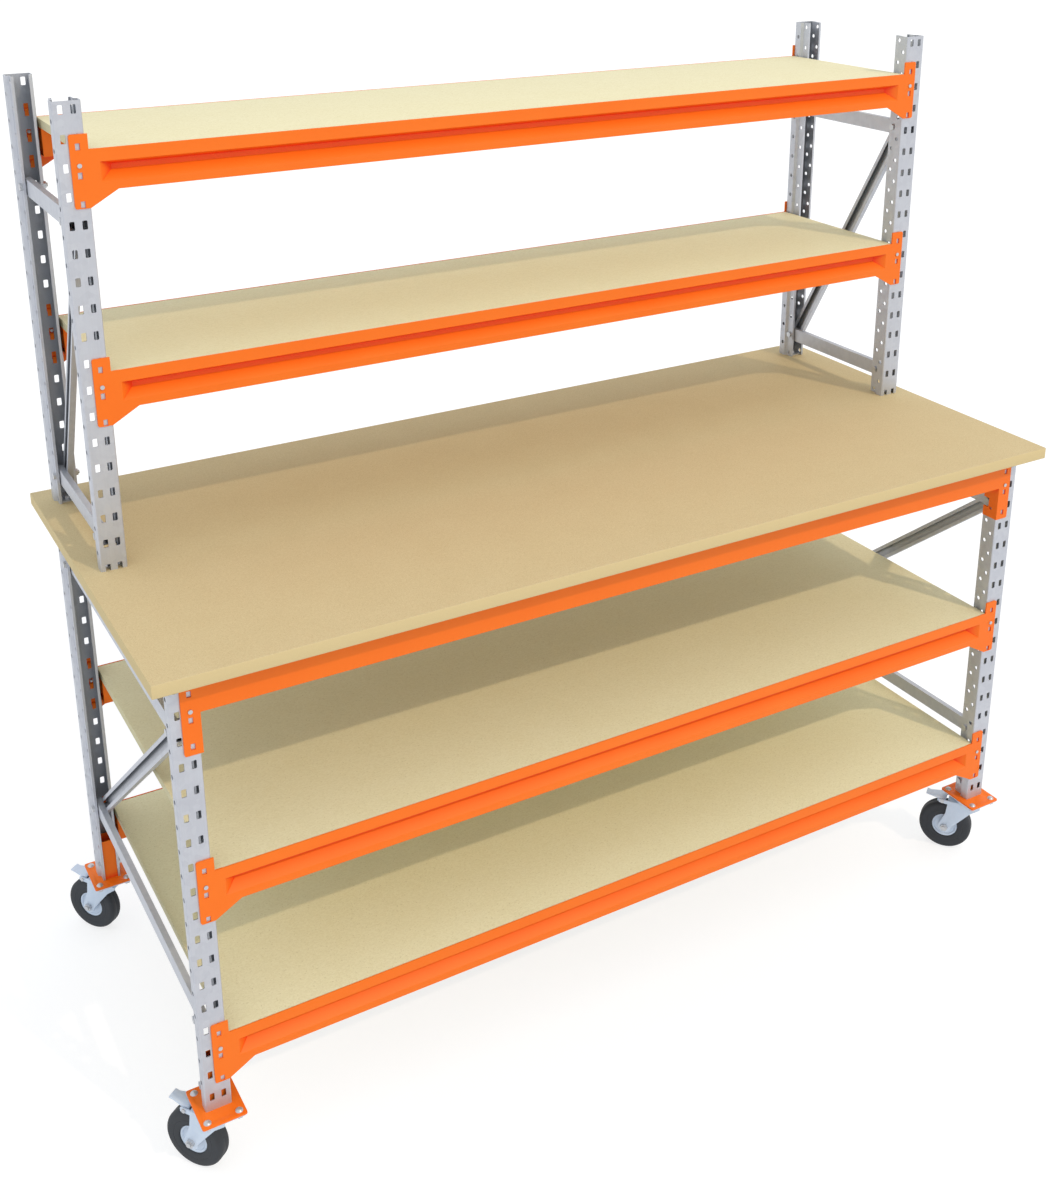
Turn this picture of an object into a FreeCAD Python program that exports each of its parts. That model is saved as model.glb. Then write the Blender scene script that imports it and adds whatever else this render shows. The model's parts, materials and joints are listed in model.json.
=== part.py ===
"""Mobile workbench: slotted steel frames, hooked beams, worktop, shelf boards and four braked castors.

Millimetres, +Z up. The bench stands on its wheels at Z = 0, its length lies along X and its front faces -Y.
The origin is at the middle of the floor area that the whole bench covers.
"""
import FreeCAD, Part
import math
import os

os.makedirs("parts", exist_ok=True)

# Whole bench
bay_clear_width = 1860
frame_depth = 800
upper_frame_depth = 400
lower_upright_length = 900
upper_upright_length = 870
worktop_thickness = 25
worktop_side_overhang = 35
worktop_front_overhang = 47
worktop_corner_radius = 3
cut_overrun = 5

# Upright section, with an inward step in the flanges and a small lip on their free edges
upright_width = 50
upright_depth = 45
upright_sheet = 2
upright_bend_radius = 3
flange_step = 6
flange_step_start = 21
flange_step_run = 5
flange_lip = 5

# Slots of the web and round holes of the flanges
slot_pitch = 50
slot_width = 9
slot_height = 16
slot_corner_radius = 2
slot_column_spacing = 22
lower_first_slot = 30
upper_first_slot = 5.5
flange_hole_diameter = 9
flange_front_row = 13
flange_rear_row_inset = 11
flange_hole_rise = 4

# Slots that carry the shelves and braces, counted upwards from the foot or downwards from the top
bottom_shelf_slot_count = 3
middle_shelf_slot_count = 10
upper_shelf_slot_count = 8
top_shelf_down_count = 1
lower_brace_slot_count = 3
lower_brace_down_count = 2
upper_brace_slot_count = 1
upper_brace_down_count = 4

# Braces and what holds them
brace_height = 33
brace_depth = 12
brace_sheet = 1.5
brace_lip = 8
brace_end_margin = 12
bolt_diameter = 8
bolt_flats = 13
bolt_head_thickness = 5.3
nut_thickness = 6.5
bolt_end = 3
thread_clearance = 0.1
sleeve_diameter = 14
sleeve_clearance = 0.3

# Hooks and hook plates of all beams
hook_count = 3
hook_plate_thickness = 3
hook_plate_past_slot = 14
hook_plate_into_bay = 4
hook_plate_rise = 7.5
hook_plate_drop = 21
hook_plate_radius = 4
hook_width = 7
hook_height = 5
hook_thickness = 3
hook_drop = 8
hook_clearance = 0.2
window_width = 8
window_height = 12
pin_hole_diameter = 6
pin_hole_rise = 3.5
pin_clearance = 0.2
pin_head_diameter = 8
pin_head_height = 2
pin_end = 5

# Shelf beams
beam_height = 73
beam_depth = 40
beam_lip = 2
beam_sheet = 1.6
beam_top_drop = 19
beam_end_gap = 2
beam_backing = 14
gusset_run = 45
gusset_foot_inset = 5.5
groove_depth = 20
groove_top = 23
groove_back_top = 32
groove_back_bottom = 41.5
groove_bottom = 58
groove_end_inset = 17
groove_end_run = 23

# Shelf boards
board_thickness = 18
board_side_gap = 1.5
board_end_gap = 2

# Worktop beams
worktop_beam_height = 72
worktop_beam_depth = 38
worktop_beam_sheet = 2
angle_front_width = 33
angle_side_depth = 41
angle_thickness = 3
angle_drop = 30
angle_top_gap = 1
angle_side_gap = 0.3
angle_hole_diameter = 7
angle_hole_depth = 16
angle_hole_rise = 22
angle_notch_height = 22
screw_diameter = 5
screw_head_diameter = 10
screw_head_height = 3
screw_bite = 18
screw_clearance = 0.2
screw_place_shares = (-0.42, -0.14, 0.14, 0.42)

# Cleats inside the feet of the upper uprights
cleat_side_gap = 0.5
cleat_web_gap = 12
cleat_depth = 28
cleat_height = 38
cleat_sheet = 3
cleat_bolt_depth = 22

# Castor feet
foot_plate_width = 85
foot_plate_depth = 105
foot_plate_thickness = 4
foot_plate_radius = 4
foot_plate_centre = 16
foot_tube_height = 98
foot_tube_sheet = 3
foot_tube_clearance = 0.2
foot_tube_edge_gap = 1
foot_tube_web_gap = 8
plate_bolt_spacing_x = 60
plate_bolt_spacing_y = 80
plate_bolt_head_diameter = 15
plate_bolt_head_height = 4.5
plate_bolt_end = 1

# Castors
wheel_diameter = 125
tyre_width = 33
tyre_shoulder_radius = 9
rim_diameter = 61
rim_width = 28
rim_dish_depth = 4
rim_dish_inner_diameter = 30
rim_dish_outer_diameter = 52
rim_seat_clearance = 0.1
hub_diameter = 25
hub_width = 37.4
hub_side_clearance = 0.3
castor_trail = 50
castor_heading = 126.5
castor_top_plate_thickness = 3
castor_top_plate_inset = 2
castor_head_height = 14
castor_head_diameter = 60
castor_head_sheet = 3
castor_head_gap = 0.3
fork_sheet = 3
fork_wheel_gap = 10
fork_nose = 30
fork_nose_drop = 7
fork_shoulder_setback = 22
fork_shoulder_drop = 24
fork_waist_rise = 40
fork_throat_drop = 10
fork_throat_setback = 3
fork_ear_reach = 18
fork_ear_drop = 5
axle_diameter = 10
axle_flats = 16
axle_head_thickness = 6
axle_boss_radius = 15
running_clearance = 0.05
kingpin_diameter = 12
kingpin_head_diameter = 22
kingpin_head_height = 5
race_inner_diameter = 36
race_outer_diameter = 48
pedal_sheet = 3
pedal_tip_width = 22
pedal_back = 8
pedal_reach = 41
pedal_tip_length = 10
pedal_tip_rise = 2
pedal_cheek_drop = 4
pedal_cheek_reach = 8
pedal_side_clearance = 2
pedal_pin_diameter = 5
pedal_pin_from_trail = 10
pedal_pin_below_top = 4
pedal_pin_head_diameter = 9
pedal_pin_head_height = 2
shoe_width = 20
shoe_start = 3
shoe_length = 10
shoe_gap = 1.4

# Places worked out from the sizes
half_clear = bay_clear_width / 2
upright_x = half_clear + upright_width / 2
hook_slot_x = upright_x - slot_column_spacing / 2
front_y = -frame_depth / 2
rear_y = frame_depth / 2
upper_front_y = rear_y - upper_frame_depth
wheel_radius = wheel_diameter / 2
crown_bottom = wheel_diameter + fork_wheel_gap
crown_top = crown_bottom + fork_sheet
head_top = crown_top + castor_head_height
castor_height = head_top + castor_top_plate_thickness
lower_foot = castor_height + foot_plate_thickness
worktop_bottom = lower_foot + lower_upright_length
worktop_top = worktop_bottom + worktop_thickness
flange_rear_row = upright_depth - flange_rear_row_inset
flange_inner_half = upright_width / 2 - flange_step - upright_sheet
flange_outer_half = upright_width / 2 - flange_step
lip_half = flange_outer_half - flange_lip
pin_height = pin_hole_rise - slot_pitch
fork_half_gap = hub_width / 2 + hub_side_clearance
sides = {"left": -upright_x, "right": upright_x}

ALONG_X = FreeCAD.Vector(1, 0, 0)
ALONG_Y = FreeCAD.Vector(0, 1, 0)
ALONG_Z = FreeCAD.Vector(0, 0, 1)
ORIGIN = FreeCAD.Vector(0, 0, 0)
nodes = {}


def slot_rows(length, first_slot):
    """How many slots fit on an upright of this length."""
    return int((length - first_slot - slot_height / 2) / slot_pitch) + 1


def slot_heights(foot, length, first_slot):
    """Heights of the slot centres of an upright, from the foot up."""
    return [foot + first_slot + row * slot_pitch for row in range(slot_rows(length, first_slot))]


lower_slots = slot_heights(lower_foot, lower_upright_length, lower_first_slot)
upper_slots = slot_heights(worktop_top, upper_upright_length, upper_first_slot)


def block(x_low, x_high, y_low, y_high, z_low, z_high):
    """A box between two corners."""
    corner = FreeCAD.Vector(x_low, y_low, z_low)
    return Part.makeBox(x_high - x_low, y_high - y_low, z_high - z_low, corner)


def rod(diameter, start, end):
    """A round bar between two points."""
    run = end - start
    return Part.makeCylinder(diameter / 2, run.Length, start, run)


def prism(points, run):
    """A flat outline pushed along a vector."""
    closed = points + [points[0]]
    return Part.Face(Part.makePolygon(closed)).extrude(run)


def joined(shapes):
    """Pieces welded or formed into one solid."""
    return shapes[0].fuse(shapes[1:]).removeSplitter()


def rounded(shape, radius, direction, wanted):
    """Rounds the straight edges that lie along a direction and pass the test."""
    picked = []
    for edge in shape.Edges:
        if len(edge.Vertexes) < 2:
            continue
        ends = edge.Vertexes[1].Point - edge.Vertexes[0].Point
        if ends.Length > 0 and abs(ends.normalize().dot(direction)) > 0.999 and wanted(edge.CenterOfMass):
            picked.append(edge)
    return shape.makeFillet(radius, picked)


def placed(shape, x, y, z, turn=0):
    """A copy turned about the upright axis and then moved."""
    copy = shape.copy()
    copy.rotate(ORIGIN, ALONG_Z, turn)
    copy.translate(FreeCAD.Vector(x, y, z))
    return copy


def hexagon(flats, thickness):
    """A hexagonal head or nut that stands on the origin."""
    radius = flats / math.sqrt(3)
    corners = [math.radians(60 * step) for step in range(6)]
    points = [FreeCAD.Vector(radius * math.cos(angle), radius * math.sin(angle), 0) for angle in corners]
    return prism(points, ALONG_Z * thickness)


def bolt_and_nut(grip, shank, flats, head, nut, end):
    """A bolt along Z whose head lies under the origin, and its nut at the far side of the grip."""
    bolt_head = placed(hexagon(flats, head), 0, 0, -head)
    bolt = joined([bolt_head, rod(shank, ORIGIN, ALONG_Z * (grip + nut + end))])
    bore = rod(shank + 2 * thread_clearance, ORIGIN, ALONG_Z * (grip + nut + end))
    return [bolt, placed(hexagon(flats, nut), 0, 0, grip).cut(bore)]


def laid_along_x(shapes):
    """Turns pieces that stand along Z so that they lie along X."""
    turned = []
    for shape in shapes:
        copy = shape.copy()
        copy.rotate(ORIGIN, ALONG_Y, 90)
        turned.append(copy)
    return turned


# Uprights

def upright(length, first_slot):
    """A slotted upright that stands on the origin, its web facing -Y."""
    half = upright_width / 2
    inner = half - upright_sheet
    step_end = flange_step_start + flange_step_run
    slant = math.atan2(flange_step, flange_step_run)
    bend_shift = upright_sheet * math.tan(slant / 2)
    lip_back = upright_depth - upright_sheet
    side = [(half, 0), (half, flange_step_start), (flange_outer_half, step_end),
            (flange_outer_half, upright_depth), (lip_half, upright_depth), (lip_half, lip_back),
            (flange_inner_half, lip_back),
            (flange_inner_half, step_end - bend_shift), (inner, flange_step_start - bend_shift),
            (inner, upright_sheet)]
    outline = side + [(-x, y) for x, y in reversed(side)]
    channel = prism([FreeCAD.Vector(x, y, 0) for x, y in outline], ALONG_Z * length)
    channel = rounded(channel, upright_bend_radius, ALONG_Z, lambda centre: centre.y < upright_sheet / 2)
    slot = block(-slot_width / 2, slot_width / 2, -cut_overrun, upright_sheet + cut_overrun,
                 -slot_height / 2, slot_height / 2)
    slot = rounded(slot, slot_corner_radius, ALONG_Y, lambda centre: True)
    reach = ALONG_X * (half + cut_overrun)
    hole_rows = ((flange_rear_row, flange_hole_rise), (flange_front_row, flange_hole_rise + slot_pitch / 2))
    cuts = []
    for height in slot_heights(0, length, first_slot):
        for column in (-slot_column_spacing / 2, slot_column_spacing / 2):
            cuts.append(placed(slot, column, 0, height))
        for row, rise in hole_rows:
            if height + rise + flange_hole_diameter < length:
                middle = FreeCAD.Vector(0, row, height + rise)
                cuts.append(rod(flange_hole_diameter, middle - reach, middle + reach))
    return channel.cut(cuts)


def add_uprights():
    """Four lower uprights, and four shorter ones on the worktop."""
    lower = upright(lower_upright_length, lower_first_slot)
    upper = upright(upper_upright_length, upper_first_slot)
    for side, x in sides.items():
        nodes["upright_front_" + side] = [placed(lower, x, front_y, lower_foot)]
        nodes["upright_rear_" + side] = [placed(lower, x, rear_y, lower_foot, 180)]
        nodes["upper_upright_front_" + side] = [placed(upper, x, upper_front_y, worktop_top)]
        nodes["upper_upright_rear_" + side] = [placed(upper, x, rear_y, worktop_top, 180)]


# Braces

def brace(span, opens):
    """A lipped channel along Y between two bolt holes, open to +X or -X from the plane X = 0."""
    start = -brace_end_margin
    end = span + brace_end_margin
    half = brace_height / 2
    outer = block(0, brace_depth, start, end, -half, half)
    inside_half = half - brace_sheet
    hollow = block(brace_sheet, brace_depth - brace_sheet, start - cut_overrun, end + cut_overrun,
                   -inside_half, inside_half)
    mouth_half = half - brace_lip
    mouth = block(-cut_overrun, brace_depth / 2, start - cut_overrun, end + cut_overrun,
                  -mouth_half, mouth_half)
    through = brace_depth + cut_overrun
    holes = [rod(flange_hole_diameter, FreeCAD.Vector(0, y, 0), FreeCAD.Vector(through, y, 0))
             for y in (0, span)]
    channel = outer.cut([hollow, mouth] + holes)
    if opens > 0:
        channel = channel.mirror(ORIGIN, ALONG_X)
    return channel


def diagonal(low, high):
    """A brace from the rear low bolt to the front high bolt, each given as (y, z), on the plane X = 0."""
    run = low[0] - high[0]
    drop = high[1] - low[1]
    channel = brace(math.hypot(run, drop), -1)
    channel.rotate(ORIGIN, ALONG_X, -math.degrees(math.atan2(drop, run)))
    channel.translate(FreeCAD.Vector(0, high[0], high[1]))
    return channel


def sleeve(low, high):
    """A spacer tube on a brace bolt between two places along X."""
    tube = rod(sleeve_diameter, ALONG_X * low, ALONG_X * high)
    return tube.cut(rod(bolt_diameter + 2 * sleeve_clearance, ALONG_X * low, ALONG_X * high))


def upright_bolt():
    """A bolt through both flanges of an upright, along X from the outside of the -X flange, and its nut."""
    return laid_along_x(bolt_and_nut(2 * flange_outer_half, bolt_diameter, bolt_flats, bolt_head_thickness,
                                     nut_thickness, bolt_end))


def add_braces():
    """Two horizontal braces and one diagonal in each end frame, with their bolts, nuts and spacer sleeves."""
    levels = {
        "lower": (front_y, lower_slots[lower_brace_slot_count], lower_slots[-1 - lower_brace_down_count]),
        "upper": (upper_front_y, upper_slots[upper_brace_slot_count],
                  upper_slots[-1 - upper_brace_down_count]),
    }
    web_inside = brace_depth - brace_sheet
    cross_bolt = upright_bolt()
    nodes["upright_bolts"] = []
    nodes["brace_spacers"] = []
    for level, (face_y, low_slot, high_slot) in levels.items():
        front = face_y + flange_rear_row
        rear = rear_y - flange_rear_row
        low = low_slot + flange_hole_rise
        high = high_slot + flange_hole_rise
        cross = brace(rear - front, 1)
        slanted = diagonal((rear, low), (front, high))
        nodes[level + "_cross_braces"] = [placed(cross, x, front, z)
                                          for x in sides.values() for z in (low, high)]
        nodes[level + "_diagonal_braces"] = [placed(slanted, x, 0, 0) for x in sides.values()]
        for x in sides.values():
            for y, z in ((front, low), (front, high), (rear, low), (rear, high)):
                shared = (y, z) in ((front, high), (rear, low))
                runs = [(-flange_inner_half, -brace_depth)]
                if shared:
                    runs += [(-web_inside, web_inside), (brace_depth, flange_inner_half)]
                else:
                    runs += [(-web_inside, flange_inner_half)]
                nodes["upright_bolts"] += [placed(piece, x - flange_outer_half, y, z) for piece in cross_bolt]
                nodes["brace_spacers"] += [placed(sleeve(*run), x, y, z) for run in runs]


# Beams

def hooks(plate, x, top_slot):
    """Cuts the lug windows into a hook plate and adds the hooks that drop behind the upright's web."""
    necks = []
    windows = []
    back = upright_sheet + hook_clearance
    for row in range(hook_count):
        seat = top_slot - row * slot_pitch - slot_height / 2
        windows.append(block(x - window_width / 2, x + window_width / 2, -hook_plate_thickness - cut_overrun,
                             cut_overrun, seat - window_height, seat))
        low = seat + hook_clearance
        left = x - hook_width / 2
        right = x + hook_width / 2
        necks.append(block(left, right, 0, back + hook_thickness, low, low + hook_height))
        necks.append(block(left, right, back, back + hook_thickness, seat - hook_drop, low))
    pin_place = FreeCAD.Vector(x, -hook_plate_thickness - cut_overrun, top_slot + pin_height)
    windows.append(rod(pin_hole_diameter, pin_place, FreeCAD.Vector(x, 0, pin_place.z)))
    return joined([plate.cut(windows)] + necks)


def lock_pin():
    """The pin that keeps a beam from lifting off, its head on the hook plate and the web's face at Y = 0."""
    face = ALONG_Y * -hook_plate_thickness
    head = rod(pin_head_diameter, face - ALONG_Y * pin_head_height, face)
    shank = rod(pin_hole_diameter - 2 * pin_clearance, face, ALONG_Y * (upright_sheet + pin_end))
    return joined([head, shank])


def add_lock_pins(face_y, top_slot):
    """One pin in each hook plate of a front beam and of the rear beam behind it."""
    for x in (-hook_slot_x, hook_slot_x):
        nodes["beam_lock_pins"].append(placed(lock_pin(), x, face_y, top_slot + pin_height))
        nodes["beam_lock_pins"].append(placed(lock_pin(), x, rear_y, top_slot + pin_height, 180))


def groove(extra):
    """The long groove in a beam's face, grown by a wall thickness for the inside of the sheet."""
    face_end = half_clear - hook_plate_into_bay - groove_end_inset + extra
    back_end = face_end - groove_end_run
    wires = []
    for y, end, low, high in ((0, face_end, groove_bottom, groove_top),
                              (groove_depth + extra, back_end, groove_back_bottom, groove_back_top)):
        z_low = -low - extra
        z_high = -high + extra
        corners = [(-end, z_low), (end, z_low), (end, z_high), (-end, z_high), (-end, z_low)]
        wires.append(Part.makePolygon([FreeCAD.Vector(x, y, z) for x, z in corners]))
    return Part.makeLoft(wires, True, True)


def beam_tube():
    """A grooved box section that carries the board, with a thin lip in front of the board's edge."""
    half_length = half_clear - beam_end_gap
    hollow_end = half_length + cut_overrun
    lip = block(-half_length, half_length, 0, beam_lip, -board_thickness, 0)
    box = block(-half_length, half_length, 0, beam_depth, -beam_height, -board_thickness)
    hollow = block(-hollow_end, hollow_end, beam_sheet, beam_depth - beam_sheet, beam_sheet - beam_height,
                   -board_thickness - beam_sheet)
    outside = joined([lip, box]).cut(groove(0))
    return outside.cut(hollow.cut(groove(beam_sheet)))


def shelf_beam():
    """A front shelf beam: X = 0 at its middle, Y = 0 at the uprights' face, Z = 0 at its top hook's slot."""
    tube = placed(beam_tube(), 0, -hook_plate_thickness, -beam_top_drop)
    edge = half_clear - hook_plate_into_bay
    outer = hook_slot_x + hook_plate_past_slot
    bottom = -(hook_count - 1) * slot_pitch - hook_plate_drop
    beam_bottom = -beam_top_drop - beam_height
    outline = [(outer, hook_plate_rise), (edge, hook_plate_rise), (edge, -beam_top_drop),
               (edge - beam_backing, -beam_top_drop), (edge - beam_backing, beam_bottom),
               (edge - gusset_run, beam_bottom), (edge + gusset_foot_inset, bottom), (outer, bottom)]
    plate = prism([FreeCAD.Vector(x, -hook_plate_thickness, z) for x, z in outline],
                  ALONG_Y * hook_plate_thickness)
    plate = rounded(plate, hook_plate_radius, ALONG_Y, lambda centre: centre.x > hook_slot_x)
    plate = hooks(plate, hook_slot_x, 0)
    return joined([tube, plate, plate.mirror(ORIGIN, ALONG_X)])


def worktop_beam(top, top_slot):
    """The front worktop beam: an open channel between two angle connectors, its top at a given height."""
    inner_edge = half_clear - angle_side_gap - angle_thickness
    outer = inner_edge + angle_front_width
    bottom = top_slot - (hook_count - 1) * slot_pitch - angle_drop
    front = -hook_plate_thickness
    plate = block(inner_edge, outer, front, 0, bottom, top - angle_top_gap)
    plate = rounded(plate, hook_plate_radius, ALONG_Y, lambda centre: centre.x > hook_slot_x)
    plate = hooks(plate, hook_slot_x, top_slot)
    side = block(inner_edge, inner_edge + angle_thickness, front, front + angle_side_depth,
                 bottom, top - angle_top_gap)
    hole = FreeCAD.Vector(inner_edge - cut_overrun, angle_hole_depth, bottom + angle_hole_rise)
    bolt_height = lower_slots[-1 - lower_brace_down_count] + flange_hole_rise
    notch = block(inner_edge - cut_overrun, inner_edge + angle_thickness + cut_overrun,
                  flange_rear_row - angle_notch_height / 2, front + angle_side_depth + cut_overrun,
                  bolt_height - angle_notch_height / 2, bolt_height + angle_notch_height / 2)
    through = ALONG_X * (angle_thickness + 2 * cut_overrun)
    side = side.cut([notch, rod(angle_hole_diameter, hole, hole + through)])
    back = front + worktop_beam_depth
    channel = block(-inner_edge, inner_edge, front, back, top - worktop_beam_height, top)
    hollow = block(-inner_edge, inner_edge, front + worktop_beam_sheet, back + cut_overrun,
                   top - worktop_beam_height + worktop_beam_sheet, top - worktop_beam_sheet)
    holes = [rod(screw_diameter + 2 * screw_clearance, FreeCAD.Vector(x, y, top - cut_overrun),
                 FreeCAD.Vector(x, y, top)) for x, y in screw_places(0)]
    channel = channel.cut([hollow] + holes)
    angle = joined([plate, side])
    return joined([channel, angle, angle.mirror(ORIGIN, ALONG_X)])


def screw_places(face_y):
    """Where the worktop screws go up through a front worktop beam, as (x, y)."""
    return [(share * bay_clear_width, face_y - hook_plate_thickness + worktop_beam_depth / 2)
            for share in screw_place_shares]


def add_beams_and_boards():
    """Worktop beams, shelf beams and shelf boards."""
    nodes["beam_lock_pins"] = []
    table_beam = worktop_beam(worktop_bottom, lower_slots[-1])
    add_lock_pins(front_y, lower_slots[-1])
    nodes["worktop_beam_front"] = [placed(table_beam, 0, front_y, 0)]
    nodes["worktop_beam_rear"] = [placed(table_beam, 0, rear_y, 0, 180)]
    beam = shelf_beam()
    shelves = {
        "bottom_shelf": (front_y, lower_slots[bottom_shelf_slot_count]),
        "middle_shelf": (front_y, lower_slots[middle_shelf_slot_count]),
        "upper_shelf": (upper_front_y, upper_slots[upper_shelf_slot_count]),
        "top_shelf": (upper_front_y, upper_slots[-1 - top_shelf_down_count]),
    }
    inset = beam_lip - hook_plate_thickness + board_side_gap
    half_board = half_clear - board_end_gap
    for shelf, (face_y, slot_z) in shelves.items():
        nodes[shelf + "_beam_front"] = [placed(beam, 0, face_y, slot_z)]
        nodes[shelf + "_beam_rear"] = [placed(beam, 0, rear_y, slot_z, 180)]
        add_lock_pins(face_y, slot_z)
        top = slot_z - beam_top_drop
        nodes[shelf + "_board"] = [block(-half_board, half_board, face_y + inset, rear_y - inset,
                                         top - board_thickness, top)]


# Worktop, its screws and the cleats of the upper uprights

def upper_feet():
    """Places of the upper uprights as (x, y of the web's face, direction from the web into the channel)."""
    return [(x, y, inward) for x in sides.values() for y, inward in ((upper_front_y, 1), (rear_y, -1))]


def add_worktop():
    """The worktop, the screws from its beams, and the cleats and bolts that hold the upper frames."""
    half_length = upright_x + upright_width / 2 + worktop_side_overhang
    half_depth = frame_depth / 2 + worktop_front_overhang
    top = block(-half_length, half_length, -half_depth, half_depth, worktop_bottom, worktop_top)
    top = rounded(top, worktop_corner_radius, ALONG_Z, lambda centre: True)
    head_top_place = ALONG_Z * -worktop_beam_sheet
    screw_head = rod(screw_head_diameter, head_top_place - ALONG_Z * screw_head_height, head_top_place)
    screw = joined([screw_head, rod(screw_diameter, head_top_place, ALONG_Z * screw_bite)])
    pilot = rod(screw_diameter + 2 * screw_clearance, ORIGIN, ALONG_Z * (screw_bite + screw_clearance))
    places = screw_places(front_y)
    places += [(-x, -y) for x, y in places]
    nodes["worktop_screws"] = [placed(screw, x, y, worktop_bottom) for x, y in places]
    cuts = [placed(pilot, x, y, worktop_bottom) for x, y in places]

    cleat_back = cleat_web_gap + cleat_depth
    base = block(cleat_side_gap - flange_inner_half, flange_inner_half, cleat_web_gap, cleat_back,
                 0, cleat_sheet)
    leg = block(flange_inner_half - cleat_sheet, flange_inner_half, cleat_web_gap, cleat_back,
                0, cleat_height)
    hole = FreeCAD.Vector(0, cleat_bolt_depth, 0)
    shank_hole = bolt_diameter + 2 * sleeve_clearance
    cleat = joined([base, leg]).cut(rod(shank_hole, hole, hole + ALONG_Z * (cleat_sheet + cut_overrun)))
    grip = cleat_sheet + worktop_thickness
    down_bolt = []
    for piece in bolt_and_nut(grip, bolt_diameter, bolt_flats, bolt_head_thickness, nut_thickness, bolt_end):
        piece.rotate(ORIGIN, ALONG_X, 180)
        down_bolt.append(piece)
    nodes["upper_frame_cleats"] = []
    nodes["cleat_bolts"] = []
    for x, y, inward in upper_feet():
        bolt_y = y + inward * cleat_bolt_depth
        nodes["upper_frame_cleats"].append(placed(cleat, x, y, worktop_top, 0 if inward > 0 else 180))
        nodes["cleat_bolts"] += [placed(piece, x, bolt_y, worktop_top + cleat_sheet) for piece in down_bolt]
        bolt_line = FreeCAD.Vector(x, bolt_y, worktop_bottom - cut_overrun)
        cuts.append(rod(shank_hole, bolt_line, bolt_line + ALONG_Z * (worktop_thickness + 2 * cut_overrun)))
    nodes["worktop"] = [top.cut(cuts)]


# Castor feet

def castor_foot():
    """A foot plate with a tube that goes up inside an upright: web face at Y = 0, upright's foot at Z = 0."""
    low = foot_plate_centre - foot_plate_depth / 2
    high = foot_plate_centre + foot_plate_depth / 2
    plate = block(-foot_plate_width / 2, foot_plate_width / 2, low, high, -foot_plate_thickness, 0)
    plate = rounded(plate, foot_plate_radius, ALONG_Z, lambda centre: True)
    half = flange_inner_half - foot_tube_clearance
    back = upright_depth - upright_sheet - foot_tube_edge_gap
    tube = block(-half, half, foot_tube_web_gap, back, 0, foot_tube_height)
    hollow = block(foot_tube_sheet - half, half - foot_tube_sheet, foot_tube_web_gap + foot_tube_sheet,
                   back - foot_tube_sheet, 0, foot_tube_height + cut_overrun)
    bolt_height = lower_first_slot + flange_hole_rise
    bolt_line = FreeCAD.Vector(0, flange_rear_row, bolt_height)
    reach = ALONG_X * (half + cut_overrun)
    tube = tube.cut([hollow, rod(flange_hole_diameter, bolt_line - reach, bolt_line + reach)])
    drop = ALONG_Z * (foot_plate_thickness + cut_overrun)
    holes = [rod(bolt_diameter + 2 * sleeve_clearance, place + ALONG_Z * cut_overrun, place - drop)
             for place in plate_bolt_places()]
    return joined([plate.cut(holes), tube])


def plate_bolt_places():
    """The four bolt holes of a castor plate, on the foot plate's top."""
    return [FreeCAD.Vector(x * plate_bolt_spacing_x / 2, foot_plate_centre + y * plate_bolt_spacing_y / 2, 0)
            for x in (-1, 1) for y in (-1, 1)]


def plate_bolt():
    """A dome-headed bolt through the foot plate and the castor's top plate, with its nut below."""
    head_radius = plate_bolt_head_diameter / 2
    cap_radius = (head_radius ** 2 + plate_bolt_head_height ** 2) / (2 * plate_bolt_head_height)
    ball = Part.makeSphere(cap_radius, ALONG_Z * (plate_bolt_head_height - cap_radius))
    span = plate_bolt_head_diameter
    dome = ball.common(block(-span, span, -span, span, 0, plate_bolt_head_height + cut_overrun))
    grip = foot_plate_thickness + castor_top_plate_thickness
    length = grip + nut_thickness + plate_bolt_end
    bolt = joined([dome, rod(bolt_diameter, ORIGIN, ALONG_Z * -length)])
    bore = rod(bolt_diameter + 2 * thread_clearance, ORIGIN, ALONG_Z * -length)
    nut = placed(hexagon(bolt_flats, nut_thickness), 0, 0, -grip - nut_thickness).cut(bore)
    return [bolt, nut]


# Castors, with the swivel axis at X = Y = 0, the floor at Z = 0 and the wheel trailing along +X

def top_plate():
    """The castor's own plate under the foot plate."""
    half_x = foot_plate_width / 2 - castor_top_plate_inset
    half_y = foot_plate_depth / 2 - castor_top_plate_inset
    plate = block(-half_x, half_x, -half_y, half_y, head_top, castor_height)
    holes = []
    for place in plate_bolt_places():
        low = FreeCAD.Vector(place.x, place.y - foot_plate_centre, head_top)
        high = low + ALONG_Z * castor_top_plate_thickness
        holes.append(rod(bolt_diameter + 2 * sleeve_clearance, low, high))
    return rounded(plate, foot_plate_radius, ALONG_Z, lambda centre: True).cut(holes)


def kingpin_and_race():
    """The king pin under the top plate, and the ring of the ball race around it."""
    head_high = crown_bottom - castor_head_gap
    head = rod(kingpin_head_diameter, ALONG_Z * (head_high - kingpin_head_height), ALONG_Z * head_high)
    pin = joined([head, rod(kingpin_diameter, ALONG_Z * head_high, ALONG_Z * head_top)])
    low = crown_top + castor_head_gap
    race = rod(race_outer_diameter, ALONG_Z * low, ALONG_Z * head_top)
    return [pin, race.cut(rod(race_inner_diameter, ALONG_Z * low, ALONG_Z * head_top))]


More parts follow.
